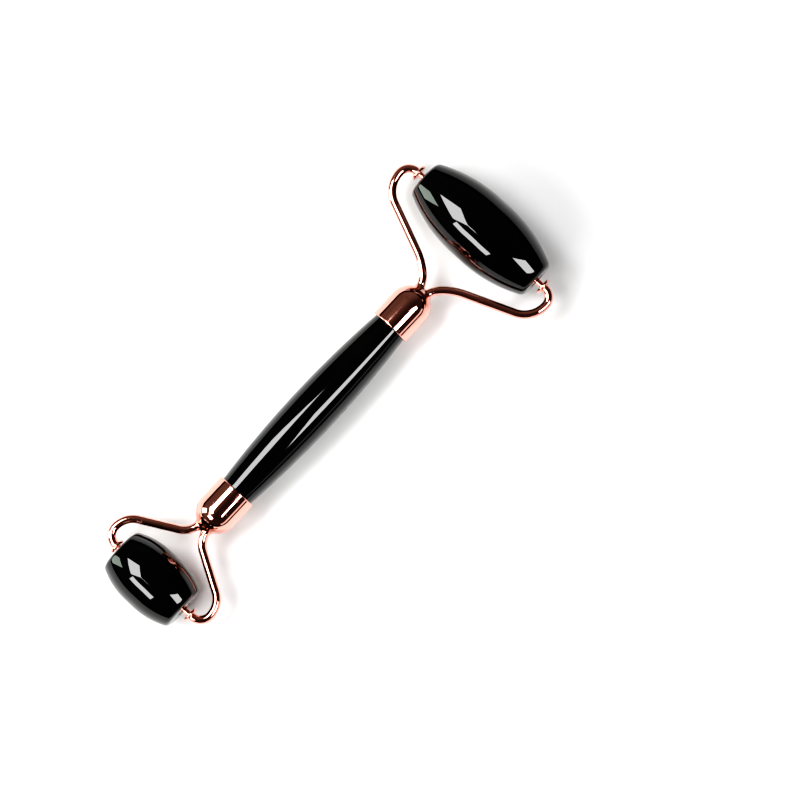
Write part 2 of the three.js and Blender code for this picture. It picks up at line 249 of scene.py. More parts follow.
# %% The handle stone
HANDLE_END_RADIUS = 4.92
HANDLE_MID_RADIUS = 6.45
SPIGOT = 6.4
GLUE_BORE = 1.6
STUD_IN_STONE = 8.6
HANDLE_CENTRE = (LARGE_MOUTH + SMALL_MOUTH) / 2
HANDLE_HALF = (LARGE_MOUTH - SMALL_MOUTH) / 2


def handle_radius(along):
    """The middle radius, less how far a circle through both ends and the middle has fallen."""
    rise = HANDLE_MID_RADIUS - HANDLE_END_RADIUS
    circle = (HANDLE_HALF**2 + rise**2) / (2 * rise)
    inside = np.minimum(np.abs(along), HANDLE_HALF)
    return HANDLE_MID_RADIUS - circle + np.sqrt(circle**2 - inside**2)


def handle_profile():
    """From the floor of one glue hole, over the outside, to the floor of the other."""
    end = HANDLE_HALF + SPIGOT
    floor = end - STUD_IN_STONE
    corners = [(0, floor), (GLUE_BORE, floor), (GLUE_BORE, end), (HANDLE_END_RADIUS, end)]
    top = rounded(corners + [(HANDLE_END_RADIUS, HANDLE_HALF)], [0.2, 0.15, 0.4])
    along = np.linspace(HANDLE_HALF, -HANDLE_HALF, 121)[1:-1]
    side = np.stack([handle_radius(along), along], -1)
    return np.concatenate([top, side, top[::-1] * [1, -1]])


def place_handle(points):
    """The handle is centred between the two mouths."""
    return points + np.array([0, HANDLE_CENTRE, 0])


handle = turned("stone_handle", handle_profile(), place_handle, STONE_COLUMNS)
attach(handle, "frame")
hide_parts("handle_stone")
print("the handle has", len(handle.data.polygons), "faces")

# %% [markdown]
# ## The rollers
# Each roller is a barrel: a long arc from end to end with a narrow true cylinder at its waist,
# flat ends, and a rounded edge where the two meet. It is bored right through for its bushes. The
# profile closes on itself, because the hole has no pole. The edge's arc touches both the belly and
# the end face without a kink, which is what keeps the pale rim of light unbroken.

# %% The barrel stones
ROLLER_BORE = 2.1
BORE_CHAMFER = 0.15


def barrel_profile(radius, length, end_radius, band, edge):
    """A closed ring of points: bore, right end, edge, belly, and the same mirrored.

    The belly falls from the band's end to end_radius on one circle, whose radius is
    (past^2 + drop^2) / (2 drop). The edge is a small circle inside it: their centres are the
    difference of the two radii apart, and the small one also touches the end face."""
    half = length / 2
    past = half - band / 2
    drop = radius - end_radius
    circle = (past**2 + drop**2) / (2 * drop)
    slope = math.asin((half - edge - band / 2) / (circle - edge))
    centre = (radius - circle + (circle - edge) * math.cos(slope), half - edge)
    mouth = np.array([(ROLLER_BORE, half - BORE_CHAMFER), (ROLLER_BORE + BORE_CHAMFER, half)])
    rim = arc(centre, edge, 90, math.degrees(slope), 13)
    swing = np.linspace(slope, 0, 61)[1:]
    belly = np.stack([radius - circle * (1 - np.cos(swing)), band / 2 + circle * np.sin(swing)], -1)
    right = np.concatenate([mouth, straight(mouth[-1], rim[0]), rim, belly])
    bore = straight((ROLLER_BORE, BORE_CHAMFER - half), mouth[0], 0.8)
    return np.concatenate([right, right[::-1] * [1, -1], bore])


def roller(name, node, body, axle_y, shape):
    """A barrel stone whose radius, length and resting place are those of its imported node."""
    low, high = (np.array(corner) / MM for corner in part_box(node))
    radius, length = (high[2] - low[2]) / 2, high[0] - low[0]
    profile = barrel_profile(radius, length, **shape)
    shift = np.array([(high[0] + low[0]) / 2, 0, 0])
    place = axle_frame(axle_y)
    piece = turned(name, profile, lambda points: place(points) + shift, STONE_COLUMNS, ring=True)
    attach(piece, body)
    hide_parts(node)
    print(f"{name}: {2 * radius:.2f} mm thick and {length:.2f} mm long")
    return piece


large_axle_y = LARGE_AXLE[1]
small_axle_y = SMALL_AXLE[1]
LARGE_SHAPE = {"end_radius": 5.3, "band": 4.0, "edge": 1.7}
SMALL_SHAPE = {"end_radius": 6.3, "band": 3.0, "edge": 1.5}
large_stone = roller("large_stone_roller", "large_roller_stone", "large_roller", large_axle_y, LARGE_SHAPE)
small_stone = roller("small_stone_roller", "small_roller_stone", "small_roller", small_axle_y, SMALL_SHAPE)

# %% [markdown]
# ## The fork wires
# A fork is two bent wires. Each leaves the cap beside its twin, bends out to a straight arm,
# sweeps round in a wide arc and hooks inwards on to the axle. The centre line is made of straight
# and round stretches only, as a bending jig makes it. A round section is carried along it with
# one side always facing up, so the tube never twists.

# %% The wires' centre lines
WIRE_RADIUS = 1.18
WIRE_SPACING = 2.5
WIRE_START = 9.7
WIRE_STEP = 0.22


def follow(stretches, start, heading):
    """Points, headings and distances along (length, turn) stretches. A turn of 0 is straight.

    At share t of an arc the heading has turned by t * turn, and the point has moved along the
    chord: length * sin(half) / half, in the direction of the mean heading."""
    place, point_list, heading_list, distance_list, done = np.array(start, float), [], [], [], 0.0
    for length, turn in stretches:
        share = np.linspace(0, 1, max(2, int(length / WIRE_STEP)) + 1)
        half = share * turn / 2
        chord = share * length * np.sinc(half / np.pi)
        moved = np.stack([chord * np.cos(heading + half), chord * np.sin(heading + half)], -1)
        skip = 1 if point_list else 0
        point_list.append((place + moved)[skip:])
        heading_list.append((heading + share * turn)[skip:])
        distance_list.append((done + share * length)[skip:])
        place, heading, done = place + moved[-1], heading + turn, done + length
    return np.concatenate(point_list), np.concatenate(heading_list), np.concatenate(distance_list)


def fork_stretches(straight_to, bends, half_width, hook_radius, reach):
    """The stretches of one wire in its end's frame, from the slot to the axle.

    bends are (radius, degrees turned outwards). The wide arc's radius and the arm's length follow
    from where they have to end: upright, at half_width, with one hook radius left to the axle."""
    stretches = [(straight_to - WIRE_START, 0.0)]
    stretches += [(radius * math.radians(turn), -math.radians(turn)) for radius, turn in bends]
    points, headings, _ = follow(stretches, (WIRE_SPACING / 2, WIRE_START), math.pi / 2)
    heading = headings[-1]
    across, up = np.array([half_width, reach - hook_radius]) - points[-1]
    sine, cosine = math.sin(heading), math.cos(heading)
    sweep = (up * cosine - across * sine) / (cosine**2 - (1 - sine) * sine)
    arm = (across - sweep * (1 - sine)) / cosine
    turn = math.pi / 2 - heading
    return stretches + [(arm, 0.0), (sweep * turn, turn), (hook_radius * math.pi / 2, math.pi / 2)]


FORKS = {
    "large": fork_stretches(
        straight_to=11.8,
        bends=[(6.5, 47), (18, 20.7)],
        half_width=26.4,
        hook_radius=3.3,
        reach=large_axle_y - LARGE_MOUTH,
    ),
    "small": fork_stretches(
        straight_to=12.5,
        bends=[(6.2, 60.7)],
        half_width=17.3,
        hook_radius=3.45,
        reach=SMALL_MOUTH - small_axle_y,
    ),
}
for end_name, stretches in FORKS.items():
    print(f"each {end_name} fork wire is {sum(length for length, _ in stretches):.1f} mm long")

# %% The wires
WIRE_COLUMNS = 40
END_ROUND = 0.12


def tube(centres, headings, distances, radius):
    """A round tube with slightly rounded ends, as a grid with a pole at each end.

    A section point is centre + radius * (cos * side + sin * up), with side across the heading."""
    quarter = np.linspace(0, np.pi / 2, 5)
    inset = np.concatenate([[radius], END_ROUND * (1 - np.sin(quarter))])
    slip = np.concatenate([[0], END_ROUND * (1 - np.cos(quarter))])
    widths = np.concatenate([radius - inset, np.full(len(centres) - 2, radius), (radius - inset)[::-1]])
    count = len(inset)
    last = len(centres) - 1
    row = np.concatenate([np.zeros(count, int), np.arange(1, last), np.full(count, last)])
    shift = np.concatenate([slip, np.zeros(last - 1), -slip[::-1]])
    way = np.stack([np.cos(headings), np.sin(headings)], -1)[row]
    middle = centres[row] + way * shift[:, None]
    angle = 2 * np.pi * np.arange(WIRE_COLUMNS) / WIRE_COLUMNS
    side = np.stack([-way[:, 1], way[:, 0]], -1)[:, None, :] * np.cos(angle)[None, :, None]
    flat = middle[:, None, :] + widths[:, None, None] * side
    up = widths[:, None] * np.sin(angle)[None, :]
    return np.concatenate([flat, up[..., None]], -1), distances[row] + shift


def fork_wire(name, node, end_name, place, mirrored):
    """One wire. Its twin is the same wire turned half round about the handle's line."""
    route = follow(FORKS[end_name], (WIRE_SPACING / 2, WIRE_START), math.pi / 2)
    points, along = tube(*route, WIRE_RADIUS)
    if mirrored:
        points = points * np.array([-1, 1, -1])
    piece = grid_piece(name, place(points), along)
    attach(piece, "frame")
    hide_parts(node)
    return piece


ENDS = {"large": (at_large_end, 1), "small": (at_small_end, -1)}
metal = []
for end_name, (place, outward) in ENDS.items():
    for mirrored in (False, True):
        side = "right" if mirrored == (outward < 0) else "left"
        node = f"{end_name}_fork_{side}_wire"
        metal.append(fork_wire(f"{end_name}_{side}_wire", node, end_name, place, mirrored))
print("wires:", [piece.name for piece in metal])

# %% [markdown]
# ## The end caps
# A cap is a short tube with a domed end, turned from brass and plated. Its mouth has a small
# rounded lip, and the wires enter through one slot in the dome. A boolean cut would leave long thin
# faces round the slot, which a polished dome shows at once. So the dome's rows are drawn from the
# equator to the slot's own outline instead, and every point of them lies on the true sphere.

# %% The caps
CAP_RADIUS = 5.75
CAP_TUBE = 7.65
CAP_BORE = 4.98
CAP_BORE_DEPTH = 6.7
CAP_LIP = 0.35
STUD_BORE = 1.6
STUD_BORE_FLOOR = 8.7
SLOT_FLOOR = 9.5
SLOT_RADIUS = 1.48
DOME_ROWS = 56


def slot_reach(angle):
    """Distance from the axis to the slot's outline, a stadium: two half circles and two straights."""
    across, up = np.abs(np.cos(angle)), np.abs(np.sin(angle))
    half = WIRE_SPACING / 2
    on_side = SLOT_RADIUS / np.maximum(up, 1e-9)
    on_end = half * across + np.sqrt(np.maximum(SLOT_RADIUS**2 - (half * up) ** 2, 0))
    return np.where(on_side * across <= half, on_side, on_end)


def cap_grid():
    """Rows from the stud hole's floor, out over the mouth and the dome, into the slot's floor."""
    corners = [(0, STUD_BORE_FLOOR), (STUD_BORE, STUD_BORE_FLOOR), (STUD_BORE, CAP_BORE_DEPTH)]
    corners += [(CAP_BORE, CAP_BORE_DEPTH), (CAP_BORE, 0), (CAP_RADIUS, 0), (CAP_RADIUS, CAP_TUBE)]
    profile = rounded(corners, [0.15, 0.1, 0.2, 0.08, CAP_LIP])
    angle = 2 * np.pi * np.arange(METAL_COLUMNS) / METAL_COLUMNS
    radius = np.repeat(profile[:, :1], METAL_COLUMNS, 1)
    along = np.repeat(profile[:, 1:], METAL_COLUMNS, 1)
    reach = slot_reach(angle)
    rise = np.linspace(0, 1, DOME_ROWS)[1:, None] * np.arccos(reach / CAP_RADIUS)
    dome_radius, dome_along = CAP_RADIUS * np.cos(rise), CAP_TUBE + CAP_RADIUS * np.sin(rise)
    sink = np.linspace(0, 1, 9)[1:, None]
    wall_along = dome_along[-1] + sink * (SLOT_FLOOR - dome_along[-1])
    wall_radius = reach + 0 * sink
    shrink = np.array([[0.5], [0.0]])
    radius = np.concatenate([radius, dome_radius, wall_radius, reach * shrink])
    along = np.concatenate([along, dome_along, wall_along, SLOT_FLOOR + 0 * reach * shrink])
    points = np.stack([radius * np.cos(angle), along, radius * np.sin(angle)], -1)
    steps = np.hypot(np.diff(radius[:, 0]), np.diff(along[:, 0]))
    return points, np.concatenate([[0], np.cumsum(steps)])


cap_points, cap_along = cap_grid()
for end_name, (place, _) in ENDS.items():
    cap = grid_piece(f"{end_name}_cap", place(cap_points), cap_along)
    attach(cap, "frame")
    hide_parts(f"{end_name}_end_cap")
    metal.append(cap)
print("each cap has", len(cap.data.polygons), "faces")

# %% [markdown]
# ## The brazed joint
# Where two wires leave a dome, the braze has run into the corners and the plating covers it all, so
# metal flows from one into the other. Bevels can't follow three curved surfaces that meet. The
# joint is drawn as the surface where a smooth sum of distances is zero: the distance to the dome
# and to each wire, blended wherever two of them are nearly equal. From a point in the crotch every
# direction meets that surface once, so a search by halves along each ray finds it. Further out
# the surface sinks below the plain metal, so no edge shows.

# %% The brazed joints
BLEND_WIDTH = 1.1
SKIN = 0.012
FULL_REACH = 3.0
LAST_REACH = 4.1
FADE_DEPTH = 0.35
RAY_ROWS = 96
HALVINGS = 16


def smooth_least(a, b, width):
    """The lesser of two distances, rounded off where they differ by less than width."""
    near = np.maximum(width - np.abs(a - b), 0) / width
    return np.minimum(a, b) - near**2 * width / 4


def joint_depth(points, centre, route):
    """How far points are outside the joined metal, in the end's own frame."""
    dome = np.linalg.norm(points - np.array([0, CAP_TUBE, 0]), axis=-1) - CAP_RADIUS
    near_wires = []
    for mirror in (1, -1):
        line = np.column_stack([mirror * route[:, 0], route[:, 1], np.zeros(len(route))])
        away = np.linalg.norm(points[:, None, :] - line[None], axis=-1).min(1)
        near_wires.append(away - WIRE_RADIUS)
    metal_depth = smooth_least(smooth_least(*near_wires, BLEND_WIDTH), dome, BLEND_WIDTH)
    out = np.linalg.norm(points - centre, axis=-1)
    fade = np.maximum(out - FULL_REACH, 0) / (LAST_REACH - FULL_REACH)
    return np.maximum(metal_depth - SKIN + FADE_DEPTH * fade**2, out - LAST_REACH)


def brazed_joint(end_name, place):
    """A closed surface seen from a point in the crotch, one ray to each point of a globe's grid."""
    route = follow(FORKS[end_name], (WIRE_SPACING / 2, WIRE_START), math.pi / 2)[0]
    route = route[route[:, 1] < 20]
    centre = np.array([0, CAP_TUBE + CAP_RADIUS - 0.5, 0])
    lift = np.linspace(-np.pi / 2, np.pi / 2, RAY_ROWS)[:, None]
    turn = 2 * np.pi * np.arange(METAL_COLUMNS)[None, :] / METAL_COLUMNS
    rays = np.stack([np.cos(lift) * np.cos(turn), np.sin(lift) + 0 * turn, np.cos(lift) * np.sin(turn)], -1)
    rays = rays.reshape(-1, 3)
    near, far = np.zeros(len(rays)), np.full(len(rays), LAST_REACH + 0.1)
    for _ in range(HALVINGS):
        middle = (near + far) / 2
        outside = joint_depth(centre + rays * middle[:, None], centre, route) > 0
        near, far = np.where(outside, near, middle), np.where(outside, middle, far)
    points = (centre + rays * near[:, None]).reshape(RAY_ROWS, METAL_COLUMNS, 3)
    points[[0, -1]] = points[[0, -1], :1]
    along = np.linspace(0, np.pi * 2, RAY_ROWS)
    piece = grid_piece(f"{end_name}_brazed_joint", place(points), along)
    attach(piece, "frame")
    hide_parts(f"{end_name}_fork_weld")
    return piece


for end_name, (place, _) in ENDS.items():
    metal.append(brazed_joint(end_name, place))
    print(metal[-1].name, "has", len(metal[-1].data.polygons), "faces")

# %% [markdown]
# ## The axle pins
# The wire's end is upset into a thick round flange that keeps the roller from rubbing, and a slim
# pin goes on into the roller's bush. The flange's rim is nearly half a circle, so it carries one
# bright and one dark line. Its back falls to the wire by a power curve, and a short root runs into
# the wire so that the two read as one piece of metal.

# %% The axle pins
PIN_RADIUS = 0.9
FLANGE_THICKNESS = 0.8
BUSH_RECESS = 0.2
BUSH_WALL = 0.8
END_FLOAT = 0.65
FLARE_POWER = 2.3


def pin_profile(tip, face, flange_radius, wire_end):
    """From the tip out: pin, flange face, rounded rim, flare, and a short root in the wire."""
    rim = FLANGE_THICKNESS / 2
    corners = [(0, tip), (PIN_RADIUS, tip), (PIN_RADIUS, face), (flange_radius - rim, face)]
    front = rounded(corners, [0.2, 0.12])
    edge = arc((flange_radius - rim, face + rim), rim, -90, 60, 9)
    share = np.linspace(0, 1, 20)[1:]
    start = edge[-1]
    width = WIRE_RADIUS + (start[0] - WIRE_RADIUS) * (1 - share) ** FLARE_POWER
    flare = np.stack([width, start[1] + (wire_end - start[1]) * share], -1)
    root = rounded([flare[-1], (WIRE_RADIUS - 0.04, wire_end + 0.25), (0, wire_end + 0.25)], [0.05])
    return np.concatenate([front[:-1], edge, flare[:-1], root])


PINS = {
    "large": {"face": 22.1, "flange": 2.45, "wire_end": 23.1, "bush": 5.6, "axle": large_axle_y},
    "small": {"face": 12.9, "flange": 2.15, "wire_end": 13.85, "bush": 5.0, "axle": small_axle_y},
}


def bush_floor(end_name):
    """Distance from the middle of a roller to the closed end of its bush."""
    low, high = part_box(f"{end_name}_roller_stone")
    return (high.x - low.x) / 2 / MM - BUSH_RECESS - PINS[end_name]["bush"] + BUSH_WALL


for end_name, size in PINS.items():
    tip = bush_floor(end_name) + END_FLOAT
    profile = pin_profile(tip, size["face"], size["flange"], size["wire_end"])
    for side_name, side in (("left", -1), ("right", 1)):
        place = axle_frame(size["axle"], side)
        pin = turned(f"{end_name}_{side_name}_pin", profile, place, SMALL_COLUMNS)
        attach(pin, "frame")
        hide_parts(f"{end_name}_{side_name}_axle_pin")
        metal.append(pin)
    print(f"the {end_name} pins' tips are {tip:.2f} mm from the middle")

# %% [markdown]
# ## Inside: studs and bushes
# A steel stud with glue grooves joins each cap to the handle, and a nylon cup in each end of a
# roller is the bearing that the pin turns in. Hardly any of it shows, but the exported model is
# taken apart on a bench, so these pieces are as smooth as the rest.

# %% The studs
STUD_RADIUS = 1.5
GROOVES = 4
GROOVE_DEPTH = 0.3
GROOVE_PITCH = 1.6
STUD_LOW = -2.0
STUD_HIGH = 8.5


def stud_profile():
    """A plain pin with chamfered ends and four V grooves in the part that is glued."""
    chamfer = GROOVE_DEPTH
    points = [(0, STUD_LOW), (STUD_RADIUS - chamfer, STUD_LOW), (STUD_RADIUS, STUD_LOW + chamfer)]
    for i in range(GROOVES):
        start = STUD_LOW + chamfer + 0.8 + i * GROOVE_PITCH
        points += [(STUD_RADIUS, start), (STUD_RADIUS - GROOVE_DEPTH, start + GROOVE_DEPTH)]
        points += [(STUD_RADIUS, start + 2 * GROOVE_DEPTH)]
    points += [(STUD_RADIUS, STUD_HIGH - chamfer), (STUD_RADIUS - chamfer, STUD_HIGH), (0, STUD_HIGH)]
    return rounded(points, [0.05] * (len(points) - 2), 5)


studs = []
for end_name, (place, _) in ENDS.items():
    stud = turned(f"{end_name}_stud", stud_profile(), place, SMALL_COLUMNS)
    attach(stud, "frame")
    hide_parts(f"{end_name}_cap_stud")
    studs.append(stud)
print("studs:", [stud.name for stud in studs])

# %% The bushes
BUSH_RADIUS = 2.05
BUSH_BORE = 0.98


def bush_profile(mouth, floor, inner):
    """A cup: closed inner end, outside, mouth and bore."""
    corners = [(0, inner), (BUSH_RADIUS, inner), (BUSH_RADIUS, mouth), (BUSH_BORE, mouth)]
    return rounded(corners + [(BUSH_BORE, floor), (0, floor)], [0.2, 0.1, 0.2, 0.1])


bushes = []
for end_name, size in PINS.items():
    low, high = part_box(f"{end_name}_roller_stone")
    middle, half = (high.x + low.x) / 2 / MM, (high.x - low.x) / 2 / MM
    floor = bush_floor(end_name)
    profile = bush_profile(half - BUSH_RECESS, floor, floor - BUSH_WALL)
    for side_name, side in (("left", -1), ("right", 1)):
        seat = axle_frame(size["axle"], side)
        shift = np.array([middle, 0, 0])
        name = f"{end_name}_{side_name}_bush"
        bush = turned(name, profile, lambda points: seat(points) + shift, SMALL_COLUMNS)
        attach(bush, f"{end_name}_roller")
        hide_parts(f"{end_name}_roller_{side_name}_bush")
        bushes.append(bush)
print("bushes:", [bush.name for bush in bushes])

# %% [markdown]
# ## Shader sums in Python
# A finish is easier to read as a sum than as a web of nodes. So one class wraps a socket and turns
# +, -, * and < into Math nodes. Another holds a node tree while it is built, and adds any other node
# by its type, its settings and its sockets. A finish is such a tree with one Principled shader.

# %% Shader helpers


class Value:
    """A number socket in a shader tree. Sums with numbers or other Values add Math nodes."""

    def __init__(self, web, socket):
        self.web, self.socket = web, socket

    def maths(self, operation, a, b):
        return self.web.node("ShaderNodeMath", {"operation": operation}, {0: a, 1: b})

    def __add__(self, other):
        return self.maths("ADD", self, other)

    __radd__ = __add__

    def __sub__(self, other):
        return self.maths("SUBTRACT", self, other)

    def __mul__(self, other):
        return self.maths("MULTIPLY", self, other)

    __rmul__ = __mul__

    def __lt__(self, other):
        return self.maths("LESS_THAN", self, other)


class Web:
    """A node tree, while it is being built."""

    def __init__(self, tree):
        self.tree = tree

    def node(self, kind, settings=None, sockets=None, output=0):
        """Adds a node: its settings first, a ramp's stops among them, then values or links."""
        made = self.tree.nodes.new(kind)
        for key, setting in (settings or {}).items():
            if key == "stops":
                self.set_stops(made.color_ramp, setting)
            else:
                setattr(made, key, setting)
        for key, value in (sockets or {}).items():
            self.connect(made.inputs[key], value)
        return Value(self, made.outputs[output])

    def connect(self, socket, value):
        if isinstance(value, Value):
            self.tree.links.new(value.socket, socket)
        else:
            socket.default_value = value

    @staticmethod
    def set_stops(ramp, stops):
        while len(ramp.elements) < len(stops):
            ramp.elements.new(0.5)
        for element, (position, grey) in zip(ramp.elements, stops):
            element.position, element.color = position, (grey, grey, grey, 1)

    def noise(self, where, scale, detail=2.0, roughness=0.5, distortion=0.0):
        """Cloudy noise from 0 to 1, with scale in features per millimetre."""
        sockets = {"Vector": where, "Scale": scale, "Detail": detail}
        sockets |= {"Roughness": roughness, "Distortion": distortion}
        return self.node("ShaderNodeTexNoise", {}, sockets)

    def ramp(self, value, *stops):
        """Maps a number through (position, level) stops."""
        return self.node("ShaderNodeValToRGB", {"stops": stops}, {"Fac": value})

    def mix(self, factor, a, b):
        """Colour a where the factor is 0, b where it is 1."""
        return self.node("ShaderNodeMix", {"data_type": "RGBA"}, {0: factor, 6: a, 7: b}, output=2)


class Finish(Web):
    """A material with one Principled shader, while it is being built."""

    def __init__(self, name, **constants):
        self.material = bpy.data.materials.new(name)
        self.material.use_nodes = True
        super().__init__(self.material.node_tree)
        self.shader = self.tree.nodes["Principled BSDF"]
        for socket, value in constants.items():
            self.shader.inputs[socket.replace("_", " ")].default_value = value

    def place(self, stretch=(1, 1, 1)):
        """Object coordinates in millimetres, stretched along each axis."""
        coordinates = self.node("ShaderNodeTexCoord", output="Object")
        scale = tuple(s / MM for s in stretch)
        return self.node("ShaderNodeVectorMath", {"operation": "MULTIPLY"}, {0: coordinates, 1: scale})

    def bump(self, height, distance, strength=1.0):
        """Height in units of distance, which is in millimetres, to the shader's normal."""
        sockets = {"Height": height, "Distance": distance * MM, "Strength": strength}
        self.connect(self.shader.inputs["Normal"], self.node("ShaderNodeBump", {}, sockets))

    def paint(self, *pieces):
        """Gives the finish to the pieces."""
        for piece in pieces:
            piece.data.materials.clear()
            piece.data.materials.append(self.material)


# %% [markdown]
# ## Polished black stone
# The stone is close to black all through: a glassy volcanic or agate black with faint smoky
# clouds, a few threads of brown-grey and here and there a pale grain that the polish has opened.
# Its shine is almost a mirror's, and it varies a little where the buffing wheel lingered. So the
# colour stays very dark, and the character goes into sparse grains and slight changes in
# roughness.

# %% The stone finish
GRAIN_CELLS = 0.36
GRAIN_SIZE = 0.03


def black_stone(name, threads):
    """Clouds, threads and grains over near black. threads is how strongly the threads show."""
    finish = Finish(name, IOR=1.5)
    where = finish.place()
    clouds = finish.ramp(finish.noise(where, 0.09, 3.0), (0.35, 0.0), (0.75, 1.0))
    stretched = finish.place((0.5, 0.16, 0.5))
    veins = finish.noise(stretched, 0.55, 4.0, 0.55, 1.6)
    vein = finish.ramp(veins, (0.485, 0.0), (0.5, 1.0), (0.515, 0.0))
    base = finish.mix(clouds, (0.0008, 0.0008, 0.001, 1), (0.003, 0.0028, 0.0026, 1))
    base = finish.mix(vein * threads, base, (0.03, 0.024, 0.02, 1))
    cells = {"Vector": where, "Scale": GRAIN_CELLS}
    grain_distance = finish.node("ShaderNodeTexVoronoi", {}, cells, output="Distance")
    grain = finish.ramp(grain_distance, (0.0, 1.0), (GRAIN_SIZE * 0.5, 0.8), (GRAIN_SIZE, 0.0))
    base = finish.mix(grain * 0.5, base, (0.1, 0.103, 0.1, 1))
    finish.connect(finish.shader.inputs["Base Color"], base)
    polish = finish.noise(where, 0.35, 3.0)
    finish.connect(finish.shader.inputs["Roughness"], 0.022 + 0.03 * polish + 0.1 * grain)
    waves = finish.noise(where, 0.16, 1.0)
    finish.bump(waves - 0.004 * grain, 0.02)
    return finish


black_stone("polished_handle_stone", 0.05).paint(handle)
black_stone("polished_roller_stone", 0.08).paint(large_stone, small_stone)
print("stone finishes made")

# %% [markdown]
# ## Rose gold plate
# The metal is buffed brass under a rose gold plate. It reflects almost everything, with a pink cast
# that is the plate's own colour. Plating is never perfectly even: the pink shifts slightly from
# place to place, the shine has faint cloudy patches from handling, and buffing leaves shallow
# ripples. Colour, roughness and a very low bump carry those.

# %% The rose gold finish
ROSE_GOLD = (0.96, 0.46, 0.385, 1)
ROSE_GOLD_DEEP = (0.93, 0.42, 0.34, 1)


def rose_gold():
    """Two close pinks by cloudy noise, a soft change of shine, tiny pits and shallow ripples."""
    finish = Finish("rose_gold_plate", Metallic=1.0)
    where = finish.place()
    tint = finish.ramp(finish.noise(where, 0.22, 3.0), (0.35, 0.0), (0.7, 1.0))
    colour = finish.mix(tint * 0.5, ROSE_GOLD, ROSE_GOLD_DEEP)
    finish.connect(finish.shader.inputs["Base Color"], colour)
    handled = finish.ramp(finish.noise(where, 0.4, 4.0), (0.45, 0.0), (0.75, 1.0))
    cells = {"Vector": where, "Scale": 1.3}
    pits = finish.node("ShaderNodeTexVoronoi", {}, cells, output="Distance") < 0.07
    finish.connect(finish.shader.inputs["Roughness"], 0.035 + 0.075 * handled + 0.2 * pits)
    ripples = finish.noise(where, 0.5, 2.0)
    finish.bump(ripples - 0.15 * pits, 0.006)
    return finish


rose_gold().paint(*metal)
print("rose gold pieces:", len(metal))

# %% [markdown]
# ## Steel and nylon
# The studs are plain steel rod with the fine rings that a lathe leaves, a little dulled by glue.
# The bushes are moulded nylon: a warm off-white with a faint mottle, slightly waxy.

# %% The inner finishes


def stud_steel():
    """Grey metal, ringed by noise that is squeezed along the stud."""
    finish = Finish("turned_steel", Metallic=1.0)
    rings = finish.noise(finish.place((0.1, 9.0, 0.1)), 1.0, 2.0)
    glue = finish.ramp(finish.noise(finish.place(), 0.8, 3.0), (0.5, 0.0), (0.65, 1.0))
    colour = finish.mix(glue * 0.5, (0.56, 0.56, 0.58, 1), (0.38, 0.35, 0.3, 1))
    finish.connect(finish.shader.inputs["Base Color"], colour)
    finish.connect(finish.shader.inputs["Roughness"], 0.25 + 0.2 * rings + 0.25 * glue)
    finish.bump(rings, 0.01)
    return finish


def bush_nylon():
    """Warm off-white with a faint mottle and a fine moulded grain."""
    finish = Finish("moulded_nylon", Subsurface_Weight=0.15, Subsurface_Scale=0.5 * MM)
    mottle = finish.noise(finish.place(), 0.9, 3.0)
    colour = finish.mix(mottle, (0.78, 0.75, 0.68, 1), (0.68, 0.65, 0.58, 1))
    finish.connect(finish.shader.inputs["Base Color"], colour)
    finish.connect(finish.shader.inputs["Roughness"], 0.38 + 0.2 * mottle)
    finish.bump(finish.noise(finish.place(), 6.0, 2.0), 0.008)
    return finish


stud_steel().paint(*studs)
bush_nylon().paint(*bushes)
print("inner finishes made")

# %% [markdown]
# ## The table
# The tool lies on a plain white sheet. It is a wide flat disc, a little short of pure white, and it
# isn't part of the object. Beyond the large roller it is painted greyer, a painted shade for the
# light falling off away from the lamps, which keeps the mirrored edge of the stone dark there.

# %% The white sheet
SHEET_RADIUS = 9.0
SHEET_SIDES = 96
SHEET_WHITE = (0.86, 0.86, 0.86, 1)
SHEET_WHITE_DULLER = (0.85, 0.85, 0.85, 1)
SHEET_PAINTED_SHADE = (0.6, 0.6, 0.605, 1)


def white_sheet():
    """One flat face with many sides, whose white turns greyer past a slanting line as painted shade."""
    finish = Finish("white_sheet", Roughness=0.7, Specular_IOR_Level=0.1)
    where = finish.node("ShaderNodeTexCoord", output="Object")
    x = finish.node("ShaderNodeSeparateXYZ", {}, {"Vector": where}, output="X")
    y = finish.node("ShaderNodeSeparateXYZ", {}, {"Vector": where}, output="Y")
    # Painted shade: past a slanting line beyond the large roller the sheet's colour goes grey, standing in
    # for the light falling off away from the lamps.
    away = finish.ramp(5.0 * (y + 0.35 * x), (0.23, 0.0), (0.45, 1.0))
    tone = finish.noise(where, 3.0, 2.0)
    white = finish.mix(tone, SHEET_WHITE, SHEET_WHITE_DULLER)
    colour = finish.mix(away, white, SHEET_PAINTED_SHADE)
    finish.connect(finish.shader.inputs["Base Color"], colour)
    mesh = bpy.data.meshes.new("white_sheet")
    angle = 2 * np.pi * np.arange(SHEET_SIDES) / SHEET_SIDES
    ring = SHEET_RADIUS * np.stack([np.cos(angle), np.sin(angle), 0 * angle], -1)
    mesh.from_pydata(ring.tolist(), [], [list(range(SHEET_SIDES))])
    sheet = bpy.data.objects.new("white_sheet", mesh)
    bpy.context.scene.collection.objects.link(sheet)
    finish.paint(sheet)
    return sheet


sheet = white_sheet()
print("the sheet reaches", SHEET_RADIUS, "m")

# %% [markdown]
# ## The studio
# The room above the table is dark, and the light comes from three rectangular softboxes. They draw
# the crisp pale patches on the stone, and between them they light the sheet to white. A green-grey
# card and a low wall of light add the small tints near the rollers' ends. A lamp is given by its
# middle, the directions of its edges, its size and how bright its face is, because that is what a
# reflection shows.

# %% Lamps


